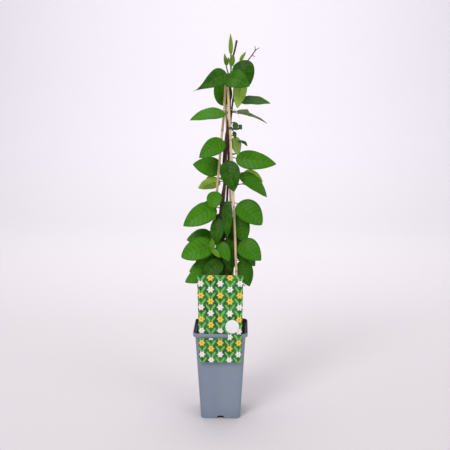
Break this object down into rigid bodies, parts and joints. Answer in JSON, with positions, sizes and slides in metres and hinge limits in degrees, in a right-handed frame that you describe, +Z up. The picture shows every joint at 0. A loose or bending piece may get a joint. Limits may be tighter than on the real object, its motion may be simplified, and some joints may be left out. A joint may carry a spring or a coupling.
{
  "type": "potted honeysuckle vine",
  "caption": "Young climbing honeysuckle with leafy stems tied to canes, in a tall square nursery pot of soil with a picture card hung on its rim.",
  "frame": {"origin": "centre of the pot's flat underside", "axes": "+Z up along the plant; the pot's front face, with the card label, looks along -Y; +X to the right seen from the front"},
  "size_m": [0.1803, 0.1184, 0.7411],
  "materials": {
    "pot": "matt blue-grey moulded plastic",
    "soil": "dark crumbly potting soil",
    "cane": "pale straw-coloured cane",
    "leaves": "soft green leaves on thin brown-purple stems",
    "tie": "thin white thread",
    "clip": "small dark plastic",
    "label": "smooth printed plastic card",
    "sticker": "blank white paper"
  },
  "bodies": {
    "root": {"pot": "pot", "soil": "soil", "cane_left": "cane", "cane_right": "cane", "cane_back": "cane", "vine_a": "leaves", "vine_b": "leaves", "vine_c": "leaves", "tie": "tie", "clip": "clip", "label": "label", "sticker": "sticker"}
  },
  "joints": []
}
